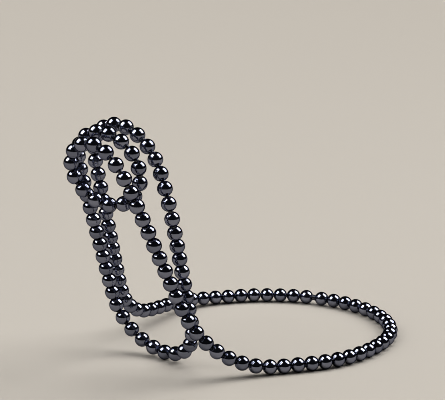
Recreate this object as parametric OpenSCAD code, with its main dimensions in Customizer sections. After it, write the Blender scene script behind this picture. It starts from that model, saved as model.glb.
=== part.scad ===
// Bead-strand bottle holder: drilled beads strung on one bent wire.
// The strand lies on the table as an open ring, climbs to the bottle's neck,
// wraps round it, drops to the table as a foot loop, climbs and wraps again,
// then comes down to the ring, where a sleeve joins the wire's two ends.
// Millimetres, +Z up, the neck axis runs along X, the ring is on the -X side.

/* [Beads and wire] */
// Diameter of one bead
bead_d = 10; // [9.6:0.1:10.4]
// Diameter of the hole drilled through a bead
hole_d = 3.4; // [3.3:0.1:3.8]
// Free space left between two neighbouring beads
bead_gap = 0.1; // [0.1:0.05:0.3]
// Diameter of the wire inside the beads
wire_d = 3; // [2:0.1:3]

/* [Wire joint] */
// Outer diameter of the sleeve that joins the wire's two ends
sleeve_d = 4.2; // [3.9:0.1:5]
// Bare length between the two beads at the joint
joint_l = 2; // [1.6:0.2:4]
// Depth of the crimp squeezed round the sleeve's middle
crimp = 0.15; // [0:0.05:0.2]

/* [Ring on the table] */
// Radius of the ring, to the bead centres
ring_r = 79; // [72:1:86]
// How far the hand-bent ring is out of round, to either side of its radius
ring_oval = 2.5; // [0:0.5:4]
// Direction of the wire joint, seen from the ring's centre
joint_a = 198; // [190:1:206]
// How far the ring swings out where the left riser's toe meets it
toe_out = 5; // [3:0.5:7]
// How far the ring still stands off the table at that toe
toe_lift = 2; // [0:0.5:3]

/* [Neck opening] */
// Diameter of the bottle neck that the first wrap clears
neck_d = 30; // [28:0.5:33]
// Play between the neck and the beads of the first wrap
neck_play = 1.6; // [1:0.2:2.4]
// Height of the neck axis above the table
neck_h = 136; // [126:1:146]
// Sideways offset of the neck axis from the ring's centre
neck_off = 19.5; // [14.5:1:24.5]
// Lean of the risers toward the bottle's mouth, from upright
lean = 22; // [17:0.5:26]

/* [Wraps] */
// Reach of the first wrap's plane on the table, from the ring's centre
row_x = 95; // [89:1:101]
// Distance from the first wrap back to the second
row_2 = 16.5; // [14.5:0.5:18.5]
// Distance from the first wrap back to the third
row_3 = 36; // [34:0.5:39]
// How much the second wrap has widened by the time it ends
widen = 6; // [4:0.5:8]
// Height of the left drop's shoulder above the neck axis
shoulder_h = 13; // [10:0.5:16]
// Height above the neck axis at which the third wrap slants over the neck
slant_h = 10; // [7:0.5:13]
// Bend radius of that slant
slant_bend = 50; // [44:1:56]
// Extra rise of the third wrap over the first
loose = 6; // [4:0.5:9]

/* [Risers] */
// How far the right riser's foot stands outside the first wrap
right_flare = 32; // [27:1:37]
// Bend radius where the ring turns up into the right riser
right_bend = 74; // [66:1:82]
// Height of the right riser's bow above the ring
right_bow = 42; // [36:1:48]
// How much closer the bow stands than the foot
bow_in = 12; // [9:0.5:15]
// Bend radius of the bows in both risers
bow_bend = 120; // [105:5:135]
// Drop of the elbow in the right rise below the neck axis
elbow_drop = 20; // [16:1:24]
// Bend radius of that elbow
elbow_bend = 34; // [28:1:40]
// Distance from the first wrap's plane back to the left riser
left_back = 24; // [21:0.5:27]
// Drop of the left riser's bow below the neck axis
left_bow = 42; // [36:1:48]
// How far the left riser's toe stands outside the foot loop
left_flare = 17; // [13:1:21]
// Height of that toe above the ring
toe_h = 9; // [6:0.5:12]
// Bend radius of that toe
toe_bend = 50; // [42:1:58]

/* [Foot loop] */
// Width of the foot loop, between bead centres
foot_w = 69; // [62:1:74]
// Reach of the foot loop behind the first wrap's plane
foot_back = 5; // [2:0.5:8]

/* [Hand bending] */
// Size of one small stray of the hand-bent wire from its true place
stray = 1; // [0:0.1:1.5]

/* [Hidden] */

// Colours, as dark plated beads and darkened steel
bead_color = "#2a2b33";
steel_color = "#5b5c63";

// Smoothness of the round surfaces
$fn = 48;
// Sides of the wire's cross section
wire_sides = 8;
// Angle between two corners of the polygon drawn round the ring and a wrap
ring_step = 22.5;
wrap_step = 45;
// Direction in which the ring is longest
oval_a = 145;
// Step along the route when bead spacing is summed up
walk = 2;
// Play between the sleeve and the wire, and between the wire's ends
sleeve_play = 0.1;
butt_play = 0.3;
// Bevel on the sleeve's rims
rim_bevel = 0.12;

bead_r = bead_d / 2;
hole_r = hole_d / 2;
// Half the length of a drilled bead, between the rims of its hole
half_l = sqrt(bead_r * bead_r - hole_r * hole_r);
// Radius of the first wrap, to the bead centres, with a little play
wrap_r = neck_d / 2 + bead_r + neck_play;
// Half the foot loop's width, and the height of its middle
foot_r = foot_w / 2;
// Height of the third wrap's top
top_h = neck_h + wrap_r + loose;

// Corner of the polygon round the ring, pushed out and lifted by given amounts
function ring_pt(a, out = 0, lift = 0) =
    let (
        oval = ring_oval * cos(2 * (a - oval_a)),
        r = ring_r / cos(ring_step / 2) + oval + out
    )
    [r * cos(a), r * sin(a), bead_r + lift];

// Point on a leaning plane: reach at table level, side from the neck axis, height
function lean_pt(reach, side, height) =
    [reach + tan(lean) * (height - bead_r), side - neck_off, height];

// Corner round the neck axis: its count in steps, a corner radius and a reach
function wrap_pt(k, r, reach) =
    let (a = wrap_step * k)
    lean_pt(reach, r * cos(a), neck_h + r * sin(a));

// Corner radius of the polygon round a wrap that grows by an extra amount
function corner_r(extra = 0) = (wrap_r + extra) / cos(wrap_step / 2);

// The route's corners with the bend radius at each: [point, radius]
ring_stray = stray * [0, 1, 1, 1, -2, 1];
ring_out = [
    for (i = [0 : 5])
        [ring_pt(joint_a - ring_step * (i + 0.5), ring_stray[i]), ring_r]
];
right_side = wrap_r + right_flare;
right_riser = [
    [lean_pt(row_x - stray, right_side, bead_r), right_bend],
    [lean_pt(row_x + 2 * stray, right_side - bow_in, bead_r + right_bow), bow_bend],
    [wrap_pt(0.18, wrap_r + 4 * stray, row_x + stray), elbow_bend]
];
first_wrap = [
    [wrap_pt(1.5, corner_r(stray), row_x - 3 * stray), wrap_r],
    [wrap_pt(2.5, corner_r(), row_x - stray), wrap_r],
    [wrap_pt(3.5, corner_r(), row_x + 2 * stray), wrap_r],
    [wrap_pt(4.5, corner_r(), row_x + 3 * stray), wrap_r],
    [wrap_pt(5.5, corner_r(), row_x + stray), wrap_r],
    [wrap_pt(6.5, corner_r(), row_x - row_2 * 0.3), wrap_r]
];
second_x = row_x - row_2 - stray;
second_wrap = [
    [wrap_pt(7.5, corner_r(), row_x - row_2 * 0.8), wrap_r],
    [wrap_pt(8.5, corner_r(widen / 6), second_x), wrap_r + widen / 6],
    [wrap_pt(9.5, corner_r(widen / 2) + stray, second_x - stray), wrap_r + widen / 2],
    [wrap_pt(10.5, corner_r(widen), second_x + stray), wrap_r + widen],
    [
        lean_pt(second_x + 5 * stray, 5 * stray - foot_r, neck_h + shoulder_h),
        wrap_r + widen
    ]
];
foot_x = row_x - foot_back;
foot_loop = [
    [lean_pt(foot_x, -foot_r - stray, bead_r), foot_r],
    [lean_pt(foot_x - 1.5 * stray, foot_r - 3 * stray, bead_r), foot_r - 5 * stray]
];
third_x = row_x - row_3;
third_wrap = [
    [
        lean_pt(row_x - row_2 - stray, foot_r + 3.5 * stray, neck_h - elbow_drop),
        elbow_bend
    ],
    [lean_pt(third_x + 2 * stray, wrap_r, neck_h + slant_h), slant_bend],
    [lean_pt(third_x - 2 * stray, 3 * stray, top_h), wrap_r + 4 * stray],
    [lean_pt(third_x + stray, -foot_r - stray / 2, top_h), wrap_r + 4 * stray]
];
left_x = row_x - left_back;
left_side = -foot_r - left_flare;
left_riser = [
    [lean_pt(left_x, -foot_r - stray / 2, neck_h - left_bow), bow_bend],
    [lean_pt(left_x - 2 * stray, left_side, bead_r + toe_h), toe_bend]
];
ring_in = [
    [ring_pt(joint_a + ring_step * 3.2, toe_out, toe_lift), ring_r],
    [ring_pt(joint_a + ring_step * 2.5, toe_out / 2), ring_r],
    [ring_pt(joint_a + ring_step * 1.5), ring_r],
    [ring_pt(joint_a + ring_step * 0.5), ring_r]
];
strands = [
    ring_out, right_riser, first_wrap, second_wrap, foot_loop,
    third_wrap, left_riser, ring_in
];
corners = [for (s = strands) for (c = s) c];
n = len(corners);

function unit(v) = v / norm(v);
function at(i) = corners[(i + n) % n][0];
function edge(i) = at(i + 1) - at(i);

// Bend at each corner: its angle, and the tangent length its radius asks for
bend_a = [
    for (i = [0 : n - 1])
        let (c = unit(edge(i - 1)) * unit(edge(i)))
        acos(max(-1, min(1, c)))
];
want_t = [for (i = [0 : n - 1]) corners[i][1] * tan(bend_a[i] / 2)];

// Share of an edge that its two bends may use, so that they never overlap
function share(i) =
    min(1, norm(edge(i)) / (want_t[(i + n) % n] + want_t[(i + 1) % n] + 0.01));
bend_t = [for (i = [0 : n - 1]) want_t[i] * min(share(i - 1), share(i))];
bend_r = [for (i = [0 : n - 1]) bend_t[i] / tan(max(0.01, bend_a[i]) / 2)];
arc_l = [for (i = [0 : n - 1]) bend_r[i] * bend_a[i] * PI / 180];

// The route starts at the joint, in the middle of the last edge
start_pt = (at(-1) + at(0)) / 2;
first_l = norm(edge(-1)) / 2 - bend_t[0];
line_l = [
    for (i = [0 : n - 1])
        i < n - 1
            ? norm(edge(i)) - bend_t[i] - bend_t[i + 1]
            : norm(edge(i)) / 2 - bend_t[i]
];
// Length along the route at which each bend begins
bend_s = [
    for (i = 0, s = first_l; i < n; s = s + arc_l[i] + line_l[i], i = i + 1) s
];
route_l = bend_s[n - 1] + arc_l[n - 1] + line_l[n - 1];

// Point of the route at length s from the joint
function on_bend(i, d) =
    let (
        u = unit(edge(i - 1)),
        v = unit(edge(i)),
        q = unit(v - (u * v) * u),
        a = min(d, arc_l[i]) / bend_r[i] * 180 / PI,
        from = at(i) - bend_t[i] * u
    )
    d <= arc_l[i]
        ? from + bend_r[i] * (sin(a) * u + (1 - cos(a)) * q)
        : at(i) + (bend_t[i] + d - arc_l[i]) * v;
function route(s) =
    let (i = len([for (b = bend_s) if (b <= s) 1]) - 1)
    i < 0 ? start_pt + s * unit(edge(-1)) : on_bend(i, s - bend_s[i]);

// Room that one bead takes at length s: its own length, a gap, and the room
// that the rims of two holes need on the inside of a bend
straight_l = 2 * half_l + bead_gap;
look = 1.05 * straight_l;
function kink_at(s) =
    let (
        a = route(max(0, s - look)),
        b = route(s),
        c = route(min(route_l, s + look)),
        k = unit(b - a) * unit(c - b)
    )
    acos(max(-1, min(1, k))) / 2;
function kink(s) =
    s < look || s > route_l - look
        ? 2
        : max([for (d = [-look / 3, 0, look / 3]) kink_at(s + d)]);
function room(s) =
    let (k = kink(s))
    (straight_l + 2 * hole_r * tan(k)) * (1 + pow(k / 57, 2) / 4);

// Running count of beads along the route, from the first bead at the joint
first_s = joint_l / 2;
last_s = route_l - joint_l / 2;
steps = ceil((last_s - first_s) / walk);
step_l = (last_s - first_s) / steps;
tally = [
    for (
        i = 0, f = 0;
        i <= steps;
        f = f + step_l / room(first_s + (i + 0.5) * step_l), i = i + 1
    ) [f, first_s + i * step_l]
];
bead_n = floor(tally[steps][0]);

// Points between the beads, where the wire bends; it is straight in each bead
gap_s = [for (i = [0 : bead_n]) lookup(i * tally[steps][0] / bead_n, tally)];
gap_pt = [for (s = gap_s) route(s)];
bead_s = [for (i = [0 : bead_n - 1]) (gap_s[i] + gap_s[i + 1]) / 2];
bead_pt = [for (i = [0 : bead_n - 1]) (gap_pt[i] + gap_pt[i + 1]) / 2];
bead_dir = [for (i = [0 : bead_n - 1]) unit(gap_pt[i + 1] - gap_pt[i])];

// Middle of the strand's footprint, which becomes the origin
bead_x = [for (p = bead_pt) p[0]];
bead_y = [for (p = bead_pt) p[1]];
bead_z = [for (p = bead_pt) p[2]];
middle = [
    (max(bead_x) + min(bead_x)) / 2,
    (max(bead_y) + min(bead_y)) / 2,
    min(bead_z) - bead_r
];

// Lengths at which the strand passes from one node's beads to the next
function bend_start(k) = bend_s[k];
function bend_end(k) = bend_s[k] + arc_l[k];
n_ring = len(ring_out);
n_first = n_ring + len(right_riser);
n_second = n_first + len(first_wrap);
n_foot = n_second + len(second_wrap);
n_third = n_foot + len(foot_loop);
n_left = n_third + len(third_wrap);
n_in = n_left + len(left_riser);
marks = [
    bend_start(n_ring), bend_start(n_first - 1), bend_start(n_second),
    bend_end(n_foot - 1), bend_start(n_foot), bend_end(n_third - 1),
    bend_start(n_third), bend_end(n_left - 1), bend_end(n_in - 1)
];

// Turn the Z axis to point along a direction
module along(p, d) {
    translate(p - middle)
        rotate([0, acos(d[2]), atan2(d[1], d[0])])
            children();
}

// One bead with its straight hole
module bead() {
    difference() {
        sphere(r = bead_r);
        cylinder(r = hole_r, h = 2 * bead_d, center = true);
    }
}

// Beads whose centres lie between two lengths of the route
module beads_between(s0, s1) {
    for (i = [0 : bead_n - 1])
        if (bead_s[i] >= s0 && bead_s[i] < s1)
            along(bead_pt[i], bead_dir[i])
                bead();
}

module ring_beads() {
    color(bead_color) {
        beads_between(0, marks[0]);
        beads_between(marks[8], route_l);
    }
}

module right_riser_beads() {
    color(bead_color)
        beads_between(marks[0], marks[1]);
}

module first_wrap_beads() {
    color(bead_color)
        beads_between(marks[1], marks[2]);
}

module second_wrap_beads() {
    color(bead_color)
        beads_between(marks[2], marks[3]);
}

module left_drop_beads() {
    color(bead_color)
        beads_between(marks[3], marks[4]);
}

module foot_loop_beads() {
    color(bead_color)
        beads_between(marks[4], marks[5]);
}

module right_rise_beads() {
    color(bead_color)
        beads_between(marks[5], marks[6]);
}

module third_wrap_beads() {
    color(bead_color)
        beads_between(marks[6], marks[7]);
}

module left_riser_beads() {
    color(bead_color)
        beads_between(marks[7], marks[8]);
}

// The wire's own points, from one end in the sleeve to the other
wire_pt = concat(
    [route(butt_play / 2)],
    gap_pt,
    [route(route_l - butt_play / 2)]
);
wire_n = len(wire_pt);
function wire_dir(i) =
    i == 0
        ? unit(wire_pt[1] - wire_pt[0])
        : i == wire_n - 1
            ? unit(wire_pt[i] - wire_pt[i - 1])
            : unit(unit(wire_pt[i] - wire_pt[i - 1]) + unit(wire_pt[i + 1] - wire_pt[i]));
// Side direction carried along the wire without twist
function carry(v, d) = unit(v - (v * d) * d);
wire_side = [
    for (
        i = 0, v = carry([0, 0, 1], wire_dir(0));
        i < wire_n;
        i = i + 1, v = i < wire_n ? carry(v, wire_dir(i)) : v
    ) v
];

module core_wire() {
    ring = [
        for (i = [0 : wire_n - 1])
            for (k = [0 : wire_sides - 1])
                let (a = 360 * k / wire_sides, d = wire_dir(i), v = wire_side[i])
                wire_pt[i] - middle
                    + wire_d / 2 * (cos(a) * v + sin(a) * cross(d, v))
    ];
    walls = [
        for (i = [0 : wire_n - 2])
            for (k = [0 : wire_sides - 1])
                let (
                    a = i * wire_sides + k,
                    b = i * wire_sides + (k + 1) % wire_sides,
                    c = a + wire_sides,
                    d = b + wire_sides,
                    half = [[a, c, b], [b, c, d]]
                )
                each half
    ];
    last = (wire_n - 1) * wire_sides;
    ends = [
        [for (k = [0 : wire_sides - 1]) k],
        [for (k = [wire_sides - 1 : -1 : 0]) last + k]
    ];
    color(steel_color)
        polyhedron(points = ring, faces = concat(walls, ends), convexity = 10);
}

// Sleeve over the wire's two ends, with bevelled rims and a crimp round its middle
module joint_sleeve() {
    in_r = wire_d / 2 + sleeve_play;
    out_r = sleeve_d / 2;
    end_z = joint_l / 2 - sleeve_play;
    color(steel_color)
        along(start_pt, unit(edge(-1)))
            rotate_extrude()
                polygon([
                    [in_r, -end_z], [out_r - rim_bevel, -end_z],
                    [out_r, rim_bevel - end_z], [out_r, -end_z / 2],
                    [out_r - crimp, 0],
                    [out_r, end_z / 2], [out_r, end_z - rim_bevel],
                    [out_r - rim_bevel, end_z], [in_r, end_z]
                ]);
}

ring_beads();
right_riser_beads();
first_wrap_beads();
second_wrap_beads();
left_drop_beads();
foot_loop_beads();
right_rise_beads();
third_wrap_beads();
left_riser_beads();
core_wire();
joint_sleeve();
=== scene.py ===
# Bead-strand holder on a bent wire: the looks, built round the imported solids.
# Lengths are in metres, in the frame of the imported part.
import math
import bpy
import numpy as np
from mathutils import Matrix, Vector


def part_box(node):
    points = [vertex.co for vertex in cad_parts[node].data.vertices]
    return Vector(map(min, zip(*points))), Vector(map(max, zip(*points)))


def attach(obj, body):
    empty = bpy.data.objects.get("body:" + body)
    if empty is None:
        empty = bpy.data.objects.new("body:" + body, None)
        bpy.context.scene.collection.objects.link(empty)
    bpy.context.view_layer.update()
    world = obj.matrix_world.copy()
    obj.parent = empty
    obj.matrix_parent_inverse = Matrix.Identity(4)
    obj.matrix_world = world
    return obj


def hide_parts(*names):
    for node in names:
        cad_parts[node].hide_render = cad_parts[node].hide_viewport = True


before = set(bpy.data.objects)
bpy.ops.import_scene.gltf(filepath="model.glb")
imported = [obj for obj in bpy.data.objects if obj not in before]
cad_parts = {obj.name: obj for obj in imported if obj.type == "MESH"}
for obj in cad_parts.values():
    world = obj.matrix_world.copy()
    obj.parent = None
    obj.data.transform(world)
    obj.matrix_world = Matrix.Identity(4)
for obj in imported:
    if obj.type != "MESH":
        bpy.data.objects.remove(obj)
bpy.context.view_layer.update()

BEAD_NODES = [
    "ring_beads", "right_riser_beads", "first_wrap_beads", "second_wrap_beads",
    "left_drop_beads", "foot_loop_beads", "right_rise_beads",
    "third_wrap_beads", "left_riser_beads",
]

# Beads
BEAD_RADIUS = 0.005
HOLE_RADIUS = 0.0017
RIM_FILLET = 0.0002
RIM_FILLET_STEPS = 3
BEAD_SIDES = 32
BEAD_SECTION_POINTS = 20
TONE_SEED = 7

# Wire
WIRE_RADIUS = 0.0015
WIRE_SIDES = 16
BEND_STEPS = 4
# Gap between the wire's two butted ends, inside the sleeve
BUTT_GAP = 0.0004
# Length of wire to each side of a corner that the bend takes up
BEND_REACH = 0.0013
# Below this turn, in radians, the wire counts as straight
SMALLEST_TURN = 0.001

# Corners of the solids that round to the same multiple of this are one corner
WELD_SIZE = 2e-6
# Floor for the size of a triangle, so that nothing is divided by zero
SMALLEST_TRIANGLE = 1e-15
# The next bead is looked for this far ahead along the hole, and this far round there
NEXT_BEAD_AHEAD = 1.9 * BEAD_RADIUS
NEXT_BEAD_AROUND = 1.2 * BEAD_RADIUS

# Colours are linear red, green and blue, with opacity
PLATING_TONES = (0.150, 0.161, 0.214, 1), (0.210, 0.222, 0.286, 1)
# Dark plating stays dark at the bead's edge, where bare metal would turn bright
PLATING_EDGE = (0.08, 0.08, 0.08, 1)
STEEL_TONES = (0.035, 0.036, 0.042, 1), (0.080, 0.082, 0.095, 1)
FLOOR_COLOUR = (0.485, 0.444, 0.387, 1)
# Stretch of the noise over which a surface goes from clean to hazy
HAZE_FROM, HAZE_TO = 0.42, 0.72

# Lamps: the directions point from the holder to the lamps
LEFT_LAMP = (0.540, -0.422, 0.729)
RIGHT_LAMP = (-0.587, 0.374, 0.718)
TOP_LAMP = (-0.2, -0.15, 1.0)
SOFTBOX_AIM = (0.03, 0.0, 0.07)
SOFTBOX_DISTANCE = 1.5
# Faint light from all round
AMBIENT_COLOUR = (0.9, 0.93, 1.0, 1)
AMBIENT_STRENGTH = 0.015
FLOOR_HALF_WIDTH = 6.0

# Camera: picture width and focal length in pixels, sensor in millimetres
PICTURE_WIDTH = 445.0
FOCAL_LENGTH = 1800.0
SENSOR_WIDTH = 36.0
CAMERA_PLACE = (0.8709, 0.7747, 0.4001)
CAMERA_AHEAD = (-0.7192, -0.6494, -0.2470)
CAMERA_RIGHT = (-0.6702, 0.7422, 0.0)
CAMERA_ROLL_DEGREES = 0.59
NEAREST_SEEN, FARTHEST_SEEN = 0.05, 50
PIXEL_FILTER_WIDTH = 0.9


# Reading the beads' places from the solids

def unit(v):
    """The vector at length one."""
    return v / np.linalg.norm(v)


def loose_parts(obj):
    """The separate solids of a node: corners, triangle normals and triangle middles.

    A normal is as long as twice its triangle's area.
    """
    mesh = obj.data
    mesh.calc_loop_triangles()
    corners = np.empty(len(mesh.vertices) * 3)
    mesh.vertices.foreach_get("co", corners)
    corners = corners.reshape(-1, 3)
    triangles = np.empty(len(mesh.loop_triangles) * 3, np.int64)
    mesh.loop_triangles.foreach_get("vertices", triangles)
    triangles = triangles.reshape(-1, 3)
    cells = np.round(corners / WELD_SIZE).astype(np.int64)
    _, welded = np.unique(cells, axis=0, return_inverse=True)
    joined = welded[triangles].reshape(-1, 3)
    # Each corner takes the lowest label that any triangle joins it to
    label = np.arange(welded.max() + 1)
    while True:
        before = label.copy()
        lowest = label[joined].min(axis=1)
        for k in range(3):
            np.minimum.at(label, joined[:, k], lowest)
        label = label[label]
        if (label == before).all():
            break
    solid = label[joined[:, 0]]
    parts = []
    for one in np.unique(solid):
        own = triangles[solid == one]
        a, b, c = corners[own[:, 0]], corners[own[:, 1]], corners[own[:, 2]]
        parts.append((corners[np.unique(own)], np.cross(b - a, c - a), (a + b + c) / 3))
    return parts


def bead_place(corners, normals, middles):
    """Centre of a drilled bead, and the direction of its hole.

    The corners lie on one ball. The hole's triangles are those that face the ball's
    centre, and its direction is square to all of them.
    """
    ball = np.c_[2 * corners, np.ones(len(corners))]
    centre = np.linalg.lstsq(ball, (corners ** 2).sum(axis=1), rcond=None)[0][:3]
    size = np.linalg.norm(normals, axis=1, keepdims=True)
    inward = ((middles - centre) * normals).sum(axis=1) < 0
    facing = (normals / np.maximum(size, SMALLEST_TRIANGLE))[inward]
    spread = (facing * size[inward]).T @ facing
    axis = np.linalg.eigh(spread)[1][:, 0]
    return centre, axis


def strung(beads, joint):
    """The beads in the wire's order, each axis pointing onward.

    The strand starts at the bead beside the joint that lies further along Y.
    """
    centre = np.array([b["centre"] for b in beads])
    waiting = set(range(len(beads)))
    nearest = sorted(waiting, key=lambda i: np.linalg.norm(centre[i] - joint))
    now = max(nearest[:2], key=lambda i: centre[i][1])
    heading = centre[now] - joint
    order = []
    while True:
        bead = beads[now]
        if bead["axis"] @ heading < 0:
            bead["axis"] = -bead["axis"]
        order.append(bead)
        waiting.discard(now)
        ahead = centre[now] + bead["axis"] * NEXT_BEAD_AHEAD
        away = {i: np.linalg.norm(centre[i] - ahead) for i in waiting}
        close = [i for i in waiting if away[i] < NEXT_BEAD_AROUND]
        if not close:
            return order
        now = min(close, key=away.get)
        heading = bead["axis"]


beads = []
for name in BEAD_NODES:
    for part in loose_parts(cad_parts[name]):
        centre, axis = bead_place(*part)
        beads.append({"node": name, "centre": centre, "axis": axis})
sleeve_low, sleeve_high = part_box("joint_sleeve")
joint = np.array((sleeve_low + sleeve_high) / 2)
beads = strung(beads, joint)


# Node trees

def put(tree, socket, value):
    """Gives an input a value, or links it where the value is a node's output."""
    if isinstance(value, bpy.types.NodeSocket):
        tree.links.new(value, socket)
    else:
        socket.default_value = value


def feed(tree, made, **values):
    """Sets up a node: lower-case names are its settings, the others its inputs."""
    for name, value in values.items():
        if name[0].islower():
            setattr(made, name, value)
        else:
            put(tree, made.inputs[name.replace("_", " ")], value)
    return made


def node(tree, kind, **values):
    """A new node, set up as feed does."""
    return feed(tree, tree.nodes.new(kind), **values)


def calc(tree, how, *values):
    """The output of a Math node on numbers and outputs."""
    made = node(tree, "ShaderNodeMath", operation=how)
    for socket, value in zip(made.inputs, values):
        put(tree, socket, value)
    return made.outputs["Value"]


def new_geometry_tree(name, sizes):
    """A geometry tree with a geometry input, named number inputs and a finish input."""
    tree = bpy.data.node_groups.new(name, "GeometryNodeTree")
    sockets = tree.interface
    sockets.new_socket("Geometry", in_out="INPUT", socket_type="NodeSocketGeometry")
    for label, value in sizes:
        kind = "NodeSocketInt" if isinstance(value, int) else "NodeSocketFloat"
        sockets.new_socket(label, in_out="INPUT", socket_type=kind).default_value = value
    sockets.new_socket("Finish", in_out="INPUT", socket_type="NodeSocketMaterial")
    sockets.new_socket("Geometry", in_out="OUTPUT", socket_type="NodeSocketGeometry")
    return tree, node(tree, "NodeGroupInput").outputs


def end_geometry_tree(tree, into, geometry):
    """Ends a geometry tree: instances become real and take the finish."""
    real = node(tree, "GeometryNodeRealizeInstances", Geometry=geometry)
    paint = node(tree, "GeometryNodeSetMaterial",
                 Geometry=real.outputs["Geometry"], Material=into["Finish"])
    node(tree, "NodeGroupOutput", Geometry=paint.outputs["Geometry"])


def point_holder(name, points, edges=(), **attributes):
    """An object of bare points, with a named number or vector for each point."""
    mesh = bpy.data.meshes.new(name)
    mesh.from_pydata([tuple(p) for p in points], list(edges), [])
    for label, values in attributes.items():
        values = np.array(values, np.float32)
        kind, field = ("FLOAT_VECTOR", "vector") if values.ndim == 2 else ("FLOAT", "value")
        data = mesh.attributes.new(label, kind, "POINT").data
        data.foreach_set(field, values.ravel())
    obj = bpy.data.objects.new(name, mesh)
    bpy.context.scene.collection.objects.link(obj)
    return obj


def signed_volume(mesh):
    """Volume of a closed mesh, below zero where its faces point inwards."""
    mesh.calc_loop_triangles()
    corners = np.array([v.co for v in mesh.vertices])
    triangles = np.array([t.vertices for t in mesh.loop_triangles])
    a, b, c = (corners[triangles[:, k]] for k in range(3))
    return float((a * np.cross(b, c)).sum() / 6)


def plain_mesh(holder, tree, finish, name):
    """Runs a geometry tree on a holder and returns its result as a plain mesh object."""
    run = holder.modifiers.new(tree.name, "NODES")
    run.node_group = tree
    for item in tree.interface.items_tree:
        if item.in_out == "INPUT" and item.socket_type == "NodeSocketMaterial":
            run[item.identifier] = finish
    graph = bpy.context.evaluated_depsgraph_get()
    mesh = bpy.data.meshes.new_from_object(holder.evaluated_get(graph))
    holder.modifiers.remove(run)
    bpy.data.objects.remove(holder)
    if signed_volume(mesh) < 0:
        mesh.flip_normals()
    mesh.name = name
    obj = bpy.data.objects.new(name, mesh)
    bpy.context.scene.collection.objects.link(obj)
    return obj


# Finishes

def new_shader_group(name, inputs, result):
    """A shader group with named inputs and one number as its result."""
    group = bpy.data.node_groups.new(name, "ShaderNodeTree")
    for label, kind in inputs:
        group.interface.new_socket(label, in_out="INPUT", socket_type=kind)
    group.interface.new_socket(result, in_out="OUTPUT", socket_type="NodeSocketFloat")
    return group, node(group, "NodeGroupInput").outputs


def make_polish_haze():
    """Faint smudges and hairlines left on a polished surface: a value for roughness."""
    group, into = new_shader_group("polish_haze", [
        ("Place", "NodeSocketVector"), ("Scale", "NodeSocketFloat"),
        ("Clean", "NodeSocketFloat"), ("Hazy", "NodeSocketFloat"),
    ], "Roughness")
    blotch = node(group, "ShaderNodeTexNoise", Vector=into["Place"], Scale=into["Scale"],
                  Detail=3.0, Roughness=0.6)
    spread = node(group, "ShaderNodeMapRange", Value=blotch.outputs["Fac"],
                  From_Min=HAZE_FROM, From_Max=HAZE_TO,
                  To_Min=into["Clean"], To_Max=into["Hazy"])
    node(group, "NodeGroupOutput", Roughness=spread.outputs["Result"])
    return group


def make_fine_ripple():
    """Low waves that a tumbled and plated surface keeps: a height."""
    group, into = new_shader_group("fine_ripple", [
        ("Place", "NodeSocketVector"), ("Scale", "NodeSocketFloat"),
    ], "Height")
    wave = node(group, "ShaderNodeTexNoise", Vector=into["Place"], Scale=into["Scale"],
                Detail=2.0, Roughness=0.45)
    node(group, "NodeGroupOutput", Height=wave.outputs["Fac"])
    return group


def new_finish(name):
    """A material, its tree, its shader, and the place on the piece."""
    finish = bpy.data.materials.new(name)
    finish.use_nodes = True
    tree = finish.node_tree
    place = node(tree, "ShaderNodeTexCoord").outputs["Object"]
    return finish, tree, tree.nodes["Principled BSDF"], place


def blended_tone(tree, amount, tones):
    """A colour between two tones, where the amount goes from 0 to 1."""
    ramp = node(tree, "ShaderNodeValToRGB", Fac=amount)
    for stop, tone in zip(ramp.color_ramp.elements, tones):
        stop.color = tone
    return ramp.outputs["Color"]


def plated_bead_finish(polish_haze, fine_ripple):
    """Blue-black plating, polished, with a slightly different tone on each bead."""
    finish, tree, shade, place = new_finish("plated_bead")
    tone = node(tree, "ShaderNodeAttribute", attribute_name="bead_tone")
    haze = node(tree, "ShaderNodeGroup", node_tree=polish_haze,
                Place=place, Scale=170.0, Clean=0.06, Hazy=0.14)
    ripple = node(tree, "ShaderNodeGroup", node_tree=fine_ripple,
                  Place=place, Scale=240.0)
    bump = node(tree, "ShaderNodeBump", Strength=0.12, Distance=0.0002,
                Height=ripple.outputs["Height"])
    feed(tree, shade, Metallic=1.0, Specular_Tint=PLATING_EDGE,
         Base_Color=blended_tone(tree, tone.outputs["Fac"], PLATING_TONES),
         Roughness=haze.outputs["Roughness"], Normal=bump.outputs["Normal"])
    return finish


def dark_wire_finish(polish_haze):
    """Drawn steel, darkened to go with the beads."""
    finish, tree, shade, place = new_finish("dark_wire")
    grain = node(tree, "ShaderNodeTexNoise", Vector=place, Scale=900.0, Detail=2.0)
    haze = node(tree, "ShaderNodeGroup", node_tree=polish_haze,
                Place=place, Scale=400.0, Clean=0.22, Hazy=0.4)
    feed(tree, shade, Metallic=1.0,
         Base_Color=blended_tone(tree, grain.outputs["Fac"], STEEL_TONES),
         Roughness=haze.outputs["Roughness"])
    return finish


polish_haze = make_polish_haze()
bead_finish = plated_bead_finish(polish_haze, make_fine_ripple())
wire_finish = dark_wire_finish(polish_haze)


# Beads

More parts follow.
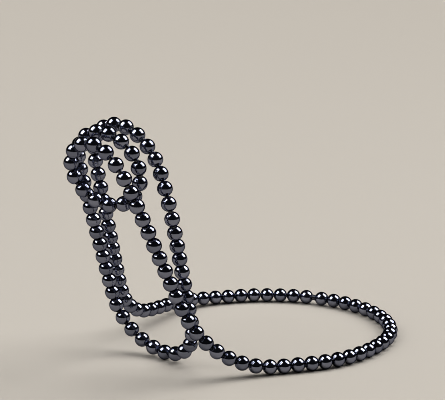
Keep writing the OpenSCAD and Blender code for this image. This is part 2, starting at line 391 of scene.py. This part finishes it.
def bead_tree():
    """Drilled beads on points: each is a rounded D section swept round its hole."""
    tree, into = new_geometry_tree("drilled_beads", [
        ("Bead Radius", BEAD_RADIUS), ("Hole Radius", HOLE_RADIUS),
        ("Rim Fillet", RIM_FILLET), ("Sides", BEAD_SIDES),
        ("Section Points", BEAD_SECTION_POINTS), ("Seed", TONE_SEED),
    ])
    # The D section: an arc from one rim of the hole to the other, closed along the hole
    cut = calc(tree, "ARCSINE",
               calc(tree, "DIVIDE", into["Hole Radius"], into["Bead Radius"]))
    arc = node(tree, "GeometryNodeCurveArc", mode="RADIUS",
               Resolution=into["Section Points"], Radius=into["Bead Radius"],
               Start_Angle=calc(tree, "SUBTRACT", cut, math.pi / 2),
               Sweep_Angle=calc(tree, "SUBTRACT", math.pi,
                                calc(tree, "MULTIPLY", cut, 2.0)))
    closed = node(tree, "GeometryNodeSetSplineCyclic",
                  Geometry=arc.outputs["Curve"], Cyclic=True)
    shift = node(tree, "ShaderNodeCombineXYZ",
                 X=calc(tree, "MULTIPLY", into["Hole Radius"], -1.0))
    moved = node(tree, "GeometryNodeSetPosition", Geometry=closed.outputs["Geometry"],
                 Offset=shift.outputs["Vector"])
    # Only the section's two ends, which are the hole's rims, are rounded
    ends = node(tree, "GeometryNodeCurveEndpointSelection")
    rim = node(tree, "GeometryNodeSwitch", input_type="FLOAT",
               Switch=ends.outputs["Selection"],
               **{"False": 0.0, "True": into["Rim Fillet"]})
    rounded = node(tree, "GeometryNodeFilletCurve", mode="POLY",
                   Curve=moved.outputs["Geometry"], Count=RIM_FILLET_STEPS,
                   Limit_Radius=True, Radius=rim.outputs["Output"])
    path = node(tree, "GeometryNodeCurvePrimitiveCircle",
                Resolution=into["Sides"], Radius=into["Hole Radius"])
    bead = node(tree, "GeometryNodeCurveToMesh",
                Curve=path.outputs["Curve"], Profile_Curve=rounded.outputs["Curve"])
    smooth = node(tree, "GeometryNodeSetShadeSmooth", Geometry=bead.outputs["Mesh"])
    # One bead on each point, turned so that its hole lies along the wire
    axis = node(tree, "GeometryNodeInputNamedAttribute", data_type="FLOAT_VECTOR",
                Name="hole_axis")
    turn = node(tree, "FunctionNodeAlignRotationToVector", axis="Z",
                Vector=axis.outputs["Attribute"])
    placed = node(tree, "GeometryNodeInstanceOnPoints", Points=into["Geometry"],
                  Instance=smooth.outputs["Geometry"], Rotation=turn.outputs["Rotation"])
    tone = node(tree, "FunctionNodeRandomValue", data_type="FLOAT", Seed=into["Seed"])
    store = node(tree, "GeometryNodeStoreNamedAttribute", data_type="FLOAT",
                 domain="INSTANCE", Geometry=placed.outputs["Instances"],
                 Name="bead_tone")
    value_out = next(s for s in tone.outputs if s.enabled)
    value_in = next(s for s in store.inputs if s.name == "Value" and s.enabled)
    put(tree, value_in, value_out)
    end_geometry_tree(tree, into, store.outputs["Geometry"])
    return tree


drilled_beads = bead_tree()
for name in BEAD_NODES:
    own = [b for b in beads if b["node"] == name]
    holder = point_holder("points_" + name, [b["centre"] for b in own],
                          hole_axis=[b["axis"] for b in own])
    piece = plain_mesh(holder, drilled_beads, bead_finish, "polished_" + name)
    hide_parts(name)
    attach(piece, "root")


# Wire and joint sleeve

def wire_tree():
    """A round wire along the points, each corner bent to the radius stored with it."""
    tree, into = new_geometry_tree("strung_wire", [
        ("Wire Radius", WIRE_RADIUS), ("Bend Steps", BEND_STEPS), ("Sides", WIRE_SIDES),
    ])
    curve = node(tree, "GeometryNodeMeshToCurve", Mesh=into["Geometry"])
    radius = node(tree, "GeometryNodeInputNamedAttribute", data_type="FLOAT",
                  Name="bend_radius")
    bends = node(tree, "GeometryNodeFilletCurve", mode="POLY",
                 Curve=curve.outputs["Curve"], Count=into["Bend Steps"],
                 Limit_Radius=True, Radius=radius.outputs["Attribute"])
    section = node(tree, "GeometryNodeCurvePrimitiveCircle",
                   Resolution=into["Sides"], Radius=into["Wire Radius"])
    tube = node(tree, "GeometryNodeCurveToMesh", Curve=bends.outputs["Curve"],
                Profile_Curve=section.outputs["Curve"], Fill_Caps=True)
    smooth = node(tree, "GeometryNodeSetShadeSmooth", Geometry=tube.outputs["Mesh"])
    end_geometry_tree(tree, into, smooth.outputs["Geometry"])
    return tree


def wire_route(beads, joint):
    """The wire's ends and corners, and the radius of the bend at each.

    The wire lies straight in each bead and turns about a point midway to the next.
    """
    along = unit(beads[0]["centre"] - beads[-1]["centre"])
    route = [joint + along * BUTT_GAP / 2]
    for bead, following in zip(beads, beads[1:]):
        reach = np.linalg.norm(following["centre"] - bead["centre"]) / 2
        route.append((bead["centre"] + bead["axis"] * reach
                      + following["centre"] - following["axis"] * reach) / 2)
    route.append(joint - along * BUTT_GAP / 2)
    corners, radii = [route[0]], [0.0]
    for before, corner, after in zip(route, route[1:], route[2:]):
        turned = math.acos(min(1.0, unit(corner - before) @ unit(after - corner)))
        if turned > SMALLEST_TURN:
            corners.append(corner)
            radii.append(BEND_REACH / math.tan(turned / 2))
    return corners + [route[-1]], radii + [0.0]


corners, radii = wire_route(beads, joint)
steps = [(i, i + 1) for i in range(len(corners) - 1)]
holder = point_holder("wire_route", corners, steps, bend_radius=radii)
wire = plain_mesh(holder, wire_tree(), wire_finish, "strung_wire")
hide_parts("core_wire")
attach(wire, "root")

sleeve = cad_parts["joint_sleeve"]
sleeve.data.materials.clear()
sleeve.data.materials.append(wire_finish)


# Floor, lights and camera

def stage_floor():
    """A plain pale floor."""
    mesh = bpy.data.meshes.new("floor")
    half = FLOOR_HALF_WIDTH
    mesh.from_pydata(
        [(-half, -half, 0), (half, -half, 0), (half, half, 0), (-half, half, 0)],
        [], [(0, 1, 2, 3)])
    floor = bpy.data.objects.new("floor", mesh)
    bpy.context.scene.collection.objects.link(floor)
    paper = bpy.data.materials.new("pale_floor")
    paper.use_nodes = True
    feed(paper.node_tree, paper.node_tree.nodes["Principled BSDF"],
         Base_Color=FLOOR_COLOUR, Roughness=0.9)
    floor.data.materials.append(paper)


def lamp(name, kind, away, roll=0.0, **values):
    """A lamp that shines from the direction away, turned about it by roll degrees."""
    light = bpy.data.lights.new(name, kind)
    for key, value in values.items():
        setattr(light, key, value)
    obj = bpy.data.objects.new(name, light)
    facing = away.to_track_quat("Z", "Y").to_matrix()
    rolled = facing @ Matrix.Rotation(math.radians(roll), 3, "Z")
    obj.rotation_euler = rolled.to_euler()
    bpy.context.scene.collection.objects.link(obj)
    return obj


def softbox(name, direction, width, height, power, roll):
    """A lit panel that shows as a bright patch in the polished beads."""
    away = Vector(direction).normalized()
    obj = lamp(name, "AREA", away, roll,
               shape="RECTANGLE", size=width, size_y=height, energy=power)
    obj.location = Vector(SOFTBOX_AIM) + away * SOFTBOX_DISTANCE
    obj.visible_diffuse = False
    obj.visible_camera = False


def even_light(name, direction, strength, spread):
    """Studio light as it falls on the floor, without fading with distance."""
    obj = lamp(name, "SUN", Vector(direction).normalized(),
               energy=strength, angle=math.radians(spread))
    obj.visible_glossy = False


def stage_camera():
    """The camera, standing where the photograph was taken from."""
    camera = bpy.data.cameras.new("camera")
    camera.sensor_width = SENSOR_WIDTH
    camera.lens = FOCAL_LENGTH / PICTURE_WIDTH * SENSOR_WIDTH
    camera.clip_start, camera.clip_end = NEAREST_SEEN, FARTHEST_SEEN
    right = Vector(CAMERA_RIGHT).normalized()
    ahead = Vector(CAMERA_AHEAD).normalized()
    up = right.cross(ahead)
    roll = math.radians(CAMERA_ROLL_DEGREES)
    side = right * math.cos(roll) + up * math.sin(roll)
    top = up * math.cos(roll) - right * math.sin(roll)
    turn = Matrix((side, top, -ahead)).transposed().to_4x4()
    turn.translation = Vector(CAMERA_PLACE)
    view = bpy.data.objects.new("camera", camera)
    view.matrix_world = turn
    bpy.context.scene.collection.objects.link(view)
    bpy.context.scene.camera = view


stage_floor()
softbox("left_softbox", LEFT_LAMP, width=1.0, height=1.16, power=30.0, roll=12.9)
softbox("right_softbox", RIGHT_LAMP, width=0.96, height=1.24, power=30.0, roll=-22.9)
even_light("left_on_floor", LEFT_LAMP, strength=1.4, spread=60)
even_light("right_on_floor", RIGHT_LAMP, strength=2.1, spread=50)
even_light("overhead_on_floor", TOP_LAMP, strength=1.15, spread=40)
stage_camera()

world = bpy.data.worlds.new("studio")
world.use_nodes = True
feed(world.node_tree, world.node_tree.nodes["Background"],
     Color=AMBIENT_COLOUR, Strength=AMBIENT_STRENGTH)
bpy.context.scene.world = world
bpy.context.scene.view_settings.view_transform = "Standard"
bpy.context.scene.cycles.filter_width = PIXEL_FILTER_WIDTH
